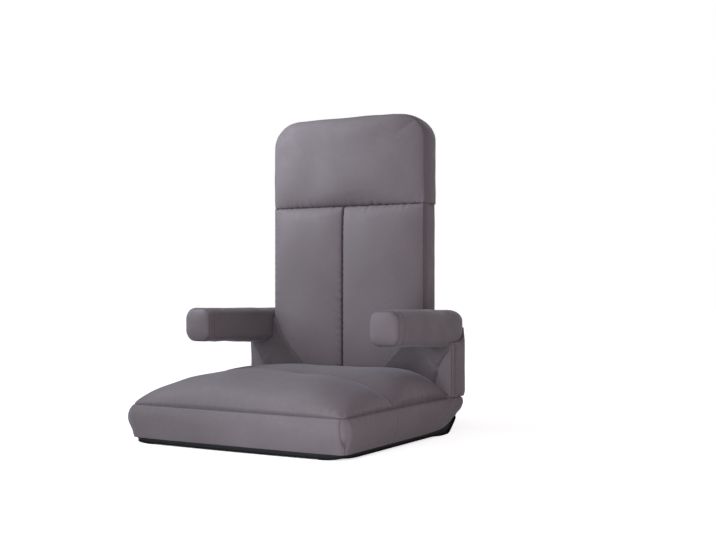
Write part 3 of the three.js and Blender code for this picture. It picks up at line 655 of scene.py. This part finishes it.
LUM_US = lines([(-212, 1), (0, 1), (212, 1)], 4.2)
LUM_WS = lines([(84, 0), (262, 0), (535.4, 1)], 4.0)
u, v, w, f = lattice(LUM_US, np.array([0.0, 1, 2, 3]), LUM_WS)
p = lumbar_shape(u, v, w)
n = normals(p, f)
face = v < 0.5
mid_t, edge_t, head_t = np.abs(u), 212 - np.abs(u), 535.4 - w
disp = np.where(face, 1.3 * ripple(p, 150, 31) * ease(mid_t / 50) * ease(edge_t / 50) * ease(head_t / 40), 0)
disp += np.where(face, groove(mid_t, 1.8, 2.2), 0)
# creases gathered along the middle seam, mostly on its left side, and a few at the head seam
disp += pinches(w, np.where(face & (u <= 0), mid_t, -1), 120, 530, 9.0, 32, (1.1, 2.8), (2.4, 4.2), (12, 30), 0.35, 0.6)
disp += pinches(w, np.where(face & (u >= 0), mid_t, -1), 120, 530, 15, 33, (0.5, 1.3), (2.4, 4.0), (8, 18), 0.3, -0.3)
disp += pinches(u, np.where(face, head_t, -1), -205, 205, 12, 34, (0.6, 1.8), (2.6, 4.6), (10, 30), 0.4)
disp += pinches(w, np.where(face, edge_t, -1), 110, 530, 16, 35, (0.3, 0.9), (2.6, 4.6), (10, 24), 0.4)
p = p + n * disp[:, None]
# dark stitching plus painted shade at the seam lines; the cushion's sides and back, tucked into the gusset, are painted
# in deep shade
seam_shade_mark = np.where(face, np.maximum(0.95 * np.exp(-((mid_t / 1.2) ** 2)), np.exp(-((edge_t / 1.0) ** 2)) * 0.6), 0.7)
seam_shade_mark = np.where(face, np.maximum(seam_shade_mark, 0.8 * np.exp(-((head_t / 1.5) ** 2))), seam_shade_mark)
lumbar = make("lumbar_cushion", p, f, CLOTH, {"seam_shade": seam_shade_mark})
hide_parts("lumbar_pad_left", "lumbar_pad_right")
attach(lumbar, "back")
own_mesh(lumbar)

# gusset and rear panel around the back frame
SHELL_US = lines([(-212, 1), (-206.5, 0), (206.5, 0), (212, 1)], 6, [1.0, 2.6])
SHELL_VS = lines([(467, 0), (494, 0), (501, 0), (531, 1)], 4.5, [1.2, 3.0, 6.0])
SHELL_WS = lines([(83, 0), (262, 0), (535.5, 1)], 5.5)
xm, vm, zm = [(q[:-1] + q[1:]) / 2 for q in (SHELL_US, SHELL_VS, SHELL_WS)]
inner = np.abs(xm)[:, None, None] < 206.5
low = zm[None, None, :] < 262
ahead = vm[None, :, None]
keep = ~(inner & (ahead < 494)) & ~(low & (ahead < 501)) & np.ones((len(xm), len(vm), len(zm)), bool)
u, v, w, f = lattice(SHELL_US, SHELL_VS, SHELL_WS, keep)
side = np.isclose(np.abs(u), 212)
rear = np.isclose(v, 531)
x, d = round_corner(u, v, -212, 212, -9000, 531, 9)
t = (v - 467) / 64.0
x = x + np.where(side, np.sign(u) * 2.2 * np.sin(math.pi * np.clip(t, 0, 1)) ** 0.7 * (1 - 0.3 * ease((w - 515) / 20)), 0)
d = d + np.where(rear, 2.2 * np.clip(1 - (np.abs(u) / 212) ** 3, 0, 1) * ease((w - 135) / 60) * ease((535.5 - w) / 30), 0)
p = np.stack([x, d, w], 1)
n = normals(p, f)
line_t = np.abs(v - 476.5)
rim_t = v - 467
disp = np.where(side, groove(line_t, 0.8, 1.5) + 0.5 * ripple(p, 55, 41) * ease(rim_t / 20) * ease((531 - v) / 12), 0)
disp += pinches(w, np.where(side, rim_t, -1), 265, 532, 13, 42, (0.25, 0.7), (2.4, 4.0), (8, 22), 0.4)
disp += pinches(v, np.where(side, 535.5 - w, -1), 470, 530, 9, 43, (0.4, 1.1), (2.2, 3.6), (8, 20), 0.4)
disp += np.where(rear, 0.6 * ripple(p, 110, 44) * ease((w - 140) / 40) * ease((212 - np.abs(u)) / 25), 0)
disp += pinches(w, np.where(rear, 212 - np.abs(u), -1), 100, 530, 22, 45, (0.2, 0.6), (3, 5), (9, 24), 0.4)
p = p + n * disp[:, None]
# seam lines of the gusset: dark stitching plus painted shade in the seam grooves
seam_shade_mark = np.where(side, np.maximum(0.6 * np.exp(-((rim_t / 1.0) ** 2)), 0.45 * np.exp(-((line_t / 1.0) ** 2))), 0)
seam_shade_mark = np.where(rear, np.maximum(seam_shade_mark, 0.8 * np.exp(-(((212 - np.abs(u)) / 1.4) ** 2))), seam_shade_mark)
shell = make("back_gusset", p, f, CLOTH, {"seam_shade": seam_shade_mark})
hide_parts("back_cover", "back_core_foam")
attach(shell, "back")


# ------------------------------------------------------------------ head section
def head_rise(z):
    w = np.clip((z - 660) / 94.0, 0, 1)
    q = np.clip((660 - z) / 122.5, 0, 1)
    return np.clip(1 - w**4.5, 0, 1) ** 0.5 * np.clip(1 - q**3.0, 0, 1) ** 0.6


def oval_corner(a, b, half, top, ra, rb):
    """upper corners of a panel pulled in to quarter ovals"""
    q = top - (top - b) * ra / rb
    qa, qb = round_corner(a, q, -half, half, -90000, top, ra)
    return qa, top - (top - qb) * rb / ra


def head_shape(u, v, w):
    t = (v - 467) / 64.0
    edge = np.clip(1 - np.clip(np.abs(u) / 212.0, 0, 1) ** 2.3, 0, 1) ** 0.62
    edge = edge * (1 - 0.10 * np.exp(-(((u + 92) / 34.0) ** 2)))
    puff = edge * head_rise(w)
    x, z = oval_corner(u, w, 212, 752, 82, 62)
    side = np.isclose(np.abs(u), 212)
    top = np.isclose(w, 752)
    bulge = 3.4 * np.sin(math.pi * np.clip(t, 0, 1)) ** 0.75
    pinch = 1 - 0.25 * np.exp(-((w - 535.8) / 7.0))
    x = x + np.where(side, np.sign(u) * bulge * pinch * np.where(top, 0.7, 1), 0)
    z = z + np.where(top, bulge * np.where(side, 0.7, 1), 0)
    d = np.where(np.isclose(v, 467), 467 - 22 * puff, np.where(np.isclose(v, 531), 531 + 7 * puff, v))
    return np.stack([x, d, z], 1)


HEAD_US = lines([(-212, 1), (212, 1)], 4.3)
HEAD_VS = lines([(467, 0), (531, 0)], 5.4)
HEAD_WS = lines([(535.8, 1), (752, 1)], 4.2)
u, v, w, f = lattice(HEAD_US, HEAD_VS, HEAD_WS)
p = head_shape(u, v, w)
n = normals(p, f)
front, rear = np.isclose(v, 467), np.isclose(v, 531)
side, top = np.isclose(np.abs(u), 212), np.isclose(w, 752)
low_t = w - 535.8
inside = ease((212 - np.abs(u)) / 50) * ease(low_t / 40) * ease((752 - w) / 50)
disp = np.where(front | rear, 1.4 * ripple(p, 150, 51) * inside, 0)
skin = front | side
disp += pinches(np.where(front, u, np.sign(u) * (v - 467 + 212)), np.where(skin, low_t, -1), -275, 275, 12, 52, (0.8, 2.2), (2.6, 4.8), (12, 36), 0.45)
disp += np.where(side | top, 0.5 * ripple(p, 70, 53) * ease(low_t / 30), 0)
disp += pinches(u, np.where(rear, low_t, -1), -205, 205, 18, 54, (0.2, 0.6), (2.8, 4.6), (9, 22), 0.4)
p = p + n * disp[:, None]
# seam lines of the head: dark stitching plus painted shade in the seam grooves
seam_shade_mark = np.exp(-((low_t / 1.4) ** 2)) * (0.85 * front + 0.12 * (side & ~front) + 0.6 * rear)
seam_shade_mark = np.maximum(seam_shade_mark, np.where(rear, 0.7 * np.exp(-((np.minimum(212 - np.abs(u), 752 - w) / 1.3) ** 2)), 0))
head = make("head_cushion", p, f, CLOTH, {"seam_shade": np.clip(seam_shade_mark, 0, 1)})
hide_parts("head_cover", "head_foam")
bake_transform(head)

# ------------------------------------------------------------------ armrests
XC, ZC = 250.55, 248.0
ARM_US = lines([(213.6, 0), (287.5, 0)], 4.6)
ARM_VS = lines([(204, 1), (221, 1), (501, 0), (539.7, 1)], 5.0, [0.9, 2.0, 3.4, 5.2, 7.6])
ARM_WS = lines([(209, 0), (287, 0)], 4.6)


def arm_shape(u, v, w):
    m = np.maximum(np.abs(u - XC) / 36.95, np.abs(w - ZC) / 39.0)
    cap = np.isclose(v, 204)
    # the points of the end cap lie on rings of the arm's own rounded outline
    k = np.where(cap & (m > 1e-6), 1 / np.maximum(m, 1e-6), 1.0)
    x, z = round_corner(XC + (u - XC) * k, ZC + (w - ZC) * k, 213.6, 287.5, 209, 287, 24)
    x, z = np.where(cap, XC + (x - XC) * m, x), np.where(cap, ZC + (z - ZC) * m, z)
    h = np.sqrt(np.clip(39.2**2 - np.clip(v - 501, 0, 39.1) ** 2, 0, None)) / 39.2
    full = ease((v - 204) / 40) * ease((540 - v) / 60)
    x = XC + (x - XC) * (1 - 0.40 * (1 - h) ** 1.1) * (1 + 0.022 * full)
    z = ZC + (z - ZC) * h * (1 + 0.016 * full)
    # the top falls a little towards the rear, the underside sags down on to the wing post
    up, down = np.clip((z - ZC) / 39.0, 0, 1), np.clip((ZC - z) / 39.0, 0, 1)
    z = z - 4.5 * up * ease((v - 230) / 270) - down * (11.0 * ease((v - 215) / 265) - 11.0 * ease((v - 500) / 38))
    x = np.maximum(x, 216.2)
    d = np.where(cap, 204 - 13.0 * np.clip(1 - m**2.3, 0, 1) ** 0.58, v)
    return np.stack([x, d, z], 1)


for name, sgn, seed in (("left", -1, 60), ("right", 1, 70)):
    u, v, w, f = lattice(ARM_US, ARM_VS, ARM_WS)
    p = arm_shape(u, v, w)
    n = normals(p, f)
    cap = np.isclose(v, 204)
    a, b = np.abs(u - XC) / 36.95, np.abs(w - ZC) / 39.0
    cap_t = (1 - np.maximum(a, b)) * 37
    turn = np.arctan2(w - ZC, u - XC) * 38
    s1 = np.where(cap, cap_t, v - 204)
    s2 = np.where(cap, 99, np.abs(v - 221))
    disp = groove(s1, 1.0, 1.5) + groove(s2, 0.7, 1.4)
    disp += np.where(~cap, 0.9 * np.exp(-(((v - 212.5) / 6) ** 2)), 0)
    disp += pinches(turn, np.where(cap, cap_t, -1), -120, 120, 9, seed, (0.2, 0.6), (1.8, 3.0), (6, 14), 0.35)
    disp += pinches(turn, np.where(~cap, v - 221, -1), -120, 120, 9, seed + 1, (0.25, 0.8), (1.8, 3.2), (8, 24), 0.4)
    disp += np.where(~cap, 0.8 * ripple(p, 75, seed + 2) * ease((v - 221) / 30) * ease((540 - v) / 30), 0)
    disp = np.where(p[:, 0] < 217.5, np.minimum(disp, 0), disp)
    p = p + n * disp[:, None]
    # seam lines of the arm: dark stitching plus painted shade in the seam grooves
    seam_shade_mark = np.maximum(0.5 * np.exp(-((s1 / 1.0) ** 2)), 0.3 * np.exp(-((s2 / 1.0) ** 2)))
    if sgn < 0:
        p, f = mirror(p, f)
    arm = make(f"armrest_{name}", p, f, CLOTH, {"seam_shade": seam_shade_mark})
    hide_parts(f"arm_cover_{name}", f"arm_foam_{name}", f"arm_end_cap_{name}")
    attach(arm, f"arm_{name}")

# ------------------------------------------------------------------ wing posts
POST_US = lines([(213.2, 0), (287.5, 1)], 4.6)
POST_VS = lines([(464, 1), (540, 1)], 4.8)
POST_WS = lines([(80.5, 0), (208, 0)], 5.0)
for name, sgn, seed in (("left", -1, 80), ("right", 1, 90)):
    u, v, w, f = lattice(POST_US, POST_VS, POST_WS)
    x, d = round_corner(u, v, 213.2 - 9000, 287.5, 464, 9000, 7)
    x, d = round_corner(x, d, 213.2 - 9000, 287.5, -9000, 540, 13)
    # behind the arm the post rises and cups the arm's round end
    crown = np.where(v > 501, 248 - np.sqrt(np.clip(39.6**2 - (np.clip(v, 501, 540) - 501) ** 2, 0, None)), 208.0)
    z = 79.6 + (w - 80.5) / 127.5 * (crown - 79.6)
    d = np.minimum(d, np.where(z > 215, 468 + np.sqrt(np.clip(72.0**2 - (np.maximum(z, 215) - 215) ** 2, 0, None)), 9999))
    outer, fr, re = np.isclose(u, 287.5), np.isclose(v, 464), np.isclose(v, 540)
    side_t, front_t = (u - 213.2) / 74.3, (v - 464) / 76.0
    x = x + np.where(outer, 3.2 * np.sin(math.pi * front_t) ** 0.6 * ease((w - 80) / 12) * ease((208 - w) / 12), 0)
    d = d - np.where(fr, 3.5 * np.sin(math.pi * np.clip(side_t, 0, 1)) ** 0.8 * ease((w - 80) / 12) * ease((212 - w) / 12), 0)
    d = d + np.where(re, 1.2 * np.sin(math.pi * np.clip(side_t, 0, 1)) * ease((w - 80) / 12) * ease((208 - w) / 12), 0)
    # lower edge turns in over the tail of the seat
    turn_in = 2.4 * (1 - ease((w - 80.5) / 7.0))
    x = x - np.where(outer, turn_in * 0.6, 0)
    d = d + np.where(fr, turn_in * 0.4, 0) - np.where(re, turn_in, 0)
    p = np.stack([x, d, z], 1)
    n = normals(p, f)
    seam_a = np.where(fr, 287.5 - u, np.where(outer, v - 464, 99))
    seam_b = np.where(outer, np.abs(v - 475), 99)
    disp = groove(seam_a, 1.2, 1.6) + groove(seam_b, 0.7, 1.4)
    disp += pinches(w, np.where(fr, 287.5 - u, -1), 84, 206, 9, seed, (0.2, 0.7), (2, 3.4), (7, 18), 0.4)
    disp += pinches(w, np.where(outer, v - 475, -1), 84, 206, 12, seed + 1, (0.2, 0.6), (2, 3.4), (7, 18), 0.4)
    disp += np.where(outer | fr | re, 0.6 * ripple(p, 60, seed + 2), 0)
    p = p + n * disp[:, None]
    # seam lines of the post: dark stitching plus painted shade in the seam grooves
    seam_shade_mark = np.maximum(0.55 * np.exp(-((seam_a / 1.0) ** 2)), 0.4 * np.exp(-((seam_b / 1.0) ** 2)))
    if sgn < 0:
        p, f = mirror(p, f)
    post = make(f"wing_post_{name}", p, f, CLOTH, {"seam_shade": seam_shade_mark})
    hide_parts(f"wing_pad_{name}")
    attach(post, "back")
    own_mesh(post)

# ------------------------------------------------------------------ wings: padded cloth from the posts to the back
INNER = np.array([[80, 92], [95, 120], [111, 145], [124, 160], [138, 174], [156, 193], [174, 213], [191, 236], [207, 262]], float)
OUTER = np.array([[238, 461, 86], [241, 461, 104], [245, 461, 124], [250, 461, 142], [258, 461, 158], [267, 461.5, 173], [276, 462.5, 184], [282, 463.5, 193], [285, 465, 203]], float)


def along_points(pts, t):
    k = np.linspace(0, 1, len(pts))
    return np.stack([curve_through(list(zip(k, pts[:, c])))(t) if np.ptp(pts[:, c]) > 0 else np.full(len(t), pts[0, c]) for c in range(pts.shape[1])], 1)


WEB_US = lines([(0, 0), (1, 0)], 0.036)
WEB_WS = lines([(0, 0), (1, 0)], 0.030)
for name, sgn, seed in (("left", -1, 100), ("right", 1, 110)):
    u, v, w, f = lattice(WEB_US, np.array([0.0, 0.5, 1.0]), WEB_WS)
    i2 = along_points(INNER, w)
    inner = np.stack([i2[:, 0], lumbar_front(i2[:, 0], i2[:, 1]) - 2.6, i2[:, 1]], 1)
    outer = along_points(OUTER, w)
    base = inner + (outer - inner) * u[:, None]
    # lies on the panel of the back, then spans to the post and the underside of the arm
    taut = base[:, 1] + 5.0 * np.sin(math.pi * u) * (1 - u)
    on_back = np.where(base[:, 0] < 206, lumbar_front(np.minimum(base[:, 0], 206), base[:, 2]) - 2.6, 9999)
    gap = on_back - taut
    depth = np.where(gap > 6, taut, np.where(gap < -6, on_back, taut - (6 - gap) ** 2 / 24.0))
    side_t = np.clip((base[:, 0] - 213.2) / 74.3, 0, 1)
    on_post = np.where(base[:, 0] > 208, 464 - 3.5 * np.sin(math.pi * side_t) ** 0.8 - 2.6, 9999)
    gap = on_post - depth
    depth = np.where(gap > 6, depth, np.where(gap < -6, on_post, depth - (6 - gap) ** 2 / 24.0))
    depth = depth + 3.2 * (u < 0.001) + 2.0 * (u > 0.999)
    height = np.where((base[:, 0] > 212.6) & (base[:, 2] > 205), 205 + (base[:, 2] - 205) * 0.12, base[:, 2])
    front = np.stack([base[:, 0], depth, height], 1)
    back = front + np.array([0, 7.0, 0]) * (0.25 + 0.75 * np.sin(math.pi * np.clip(u, 0.0, 1.0)) ** 0.5)[:, None]
    p = front + (back - front) * v[:, None]
    n = normals(p, f)
    face = v < 0.1
    disp = np.where(face, 0.7 * ripple(p, 60, seed) * np.sin(math.pi * u), 0)
    # one soft crease from under the arm down to the post
    away = ((front[:, 0] - 221) * 41 + (front[:, 2] - 180) * 37) / 55.2
    run = ((front[:, 0] - 221) * 37 - (front[:, 2] - 180) * 41) / 55.2
    window = ease((run + 18) / 14) * ease((70 - run) / 22)
    disp += np.where(face, (1.6 * np.exp(-(((away + 8) / 6.5) ** 2)) - 2.0 * np.exp(-((away / 3.6) ** 2))) * window * (1.0 if sgn > 0 else 0.5), 0)
    disp += pinches(w * 160, np.where(face, u * 120, -1), 0, 160, 15, seed + 1, (0.3, 0.9), (2.6, 4.4), (12, 34), 0.3)
    p = p + n * disp[:, None]
    # seam line along the wing's inner edge: dark stitching plus painted shade in its groove
    seam_shade_mark = np.where(face, np.exp(-((u * 110 / 1.6) ** 2)) * 0.5, 0)
    if sgn < 0:
        p, f = mirror(p, f)
    # painted shade: the darker wing cloth stands for the shade under the arm
    web = make(f"wing_{name}", p, f, WING_SHADE_CLOTH, {"seam_shade": seam_shade_mark})
    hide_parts(f"wing_web_{name}")
    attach(web, "back")
    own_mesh(web)

# ------------------------------------------------------------------ finish of the frame
FINISH = {
    "steel": (PAINT, ["leg_frame", "seat_frame", "back_frame", "head_frame", "wing_plate_left", "wing_plate_right", "arm_core_left", "arm_core_right"]),
    "strap": (STRAP, ["leg_strap", "seat_strap_front", "seat_strap_rear", "back_strap_lower", "back_strap_upper", "back_zip"]),
}
dressed = {n: m for m, names in FINISH.values() for n in names}
for node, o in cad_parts.items():
    mat = dressed.get(node, PLATED)
    o.data.materials.clear()
    o.data.materials.append(mat)

# ------------------------------------------------------------------ camera, light, floor
cam_data = bpy.data.cameras.new("camera")
cam_data.lens, cam_data.sensor_width = 54.55, 36.0
cam_data.sensor_fit = "HORIZONTAL"
cam_data.shift_y = 16.3 / 716
cam_data.clip_start, cam_data.clip_end = 0.05, 60
cam = bpy.data.objects.new("camera", cam_data)
cam.location = (1.3618, -2.0868, 0.3447)
cam.rotation_euler = (math.radians(90), 0, math.radians(30.1))
bpy.context.scene.collection.objects.link(cam)
bpy.context.scene.camera = cam


def lamp(name, place, aim, size, power, colour=(1, 1, 1)):
    data = bpy.data.lights.new(name, "AREA")
    data.shape = "RECTANGLE"
    data.size, data.size_y = size
    data.energy = power
    data.color = colour
    o = bpy.data.objects.new(name, data)
    o.location = place
    o.rotation_euler = (Vector(aim) - Vector(place)).to_track_quat("-Z", "Y").to_euler()
    bpy.context.scene.collection.objects.link(o)
    return o


def far_lamp(name, azimuth, elevation, power, colour):
    data = bpy.data.lights.new(name, "SUN")
    data.energy, data.angle, data.color = power, math.radians(40), colour
    o = bpy.data.objects.new(name, data)
    az, el = math.radians(azimuth), math.radians(elevation)
    toward = Vector((-math.sin(az) * math.cos(el), -math.cos(az) * math.cos(el), math.sin(el)))
    o.rotation_euler = toward.to_track_quat("Z", "Y").to_euler()
    o.location = toward * 4
    bpy.context.scene.collection.objects.link(o)


COOL, ROSE = (0.95, 1.025, 1.105), (1.07, 0.95, 0.985)
far_lamp("left_far", 62, 24, 1.15, COOL)
far_lamp("right_far", -30, 20, 0.8, (1.0, 0.99, 1.05))
far_lamp("rear_far", 180, 7, 0.6, (1.0, 1.0, 1.0))
for args in (
    ("front_low", (0.28, -0.90, 0.14), (0.22, -0.26, 0.06), (0.3, 0.3), 3.0, COOL),
    ("left_high", (-0.64, -0.24, 0.88), (0.05, 0.3, 0.70), (0.4, 0.4), 5.0, COOL),
    ("right_side", (1.6, -0.4, 0.3), (0.2, 0, 0.2), (0.7, 0.7), 4.6, ROSE),
    ("top", (-0.35, -0.25, 1.35), (-0.05, 0.2, 0.5), (0.5, 0.5), 3.0, COOL),
):
    lamp(*args).visible_camera = False
FILL = 0.15
world = bpy.data.worlds.new("studio")
world.use_nodes = True
wt = world.node_tree
fill = wt.nodes["Background"]
fill.inputs[0].default_value = (*ROSE, 1)
fill.inputs[1].default_value = FILL
white = wt.nodes.new("ShaderNodeBackground")
white.inputs[0].default_value = (1, 1, 1, 1)
white.inputs[1].default_value = 1.0
path = wt.nodes.new("ShaderNodeLightPath")
both = wt.nodes.new("ShaderNodeMixShader")
wt.links.new(path.outputs["Is Camera Ray"], both.inputs[0])
wt.links.new(fill.outputs[0], both.inputs[1])
wt.links.new(white.outputs[0], both.inputs[2])
wt.links.new(both.outputs[0], wt.nodes["World Output"].inputs["Surface"])
bpy.context.scene.world = world
bpy.context.scene.view_settings.view_transform = "Standard"
bpy.context.scene.view_settings.look = "None"

floor_mat, nt, b = material("pale_floor")
tc = nt.nodes.new("ShaderNodeTexCoord")
nt.links.new(ramp(nt, noise(nt, tc.outputs["Object"], 3.0, 3.0), [(0.3, (0.86, 0.86, 0.86)), (0.7, (0.90, 0.90, 0.90))]), b.inputs["Base Color"])
b.inputs["Roughness"].default_value = 0.9
b.inputs["Specular IOR Level"].default_value = 0.1
# seen by the camera the floor is a little lighter than the light that it throws back
pale = nt.nodes.new("ShaderNodeEmission")
pale.inputs["Color"].default_value = (1, 1, 1, 1)
pale.inputs["Strength"].default_value = 0.70
lit = nt.nodes.new("ShaderNodeAddShader")
nt.links.new(b.outputs[0], lit.inputs[0])
nt.links.new(pale.outputs[0], lit.inputs[1])
eye = nt.nodes.new("ShaderNodeLightPath")
shown = nt.nodes.new("ShaderNodeMixShader")
nt.links.new(eye.outputs["Is Camera Ray"], shown.inputs[0])
nt.links.new(b.outputs[0], shown.inputs[1])
nt.links.new(lit.outputs[0], shown.inputs[2])
nt.links.new(shown.outputs[0], next(n for n in nt.nodes if n.type == "OUTPUT_MATERIAL").inputs["Surface"])
me = bpy.data.meshes.new("floor")
me.from_pydata([(-14, -14, 0), (14, -14, 0), (14, 14, 0), (-14, 14, 0)], [], [(0, 1, 2, 3)])
me.materials.append(floor_mat)
floor = bpy.data.objects.new("floor", me)
bpy.context.scene.collection.objects.link(floor)
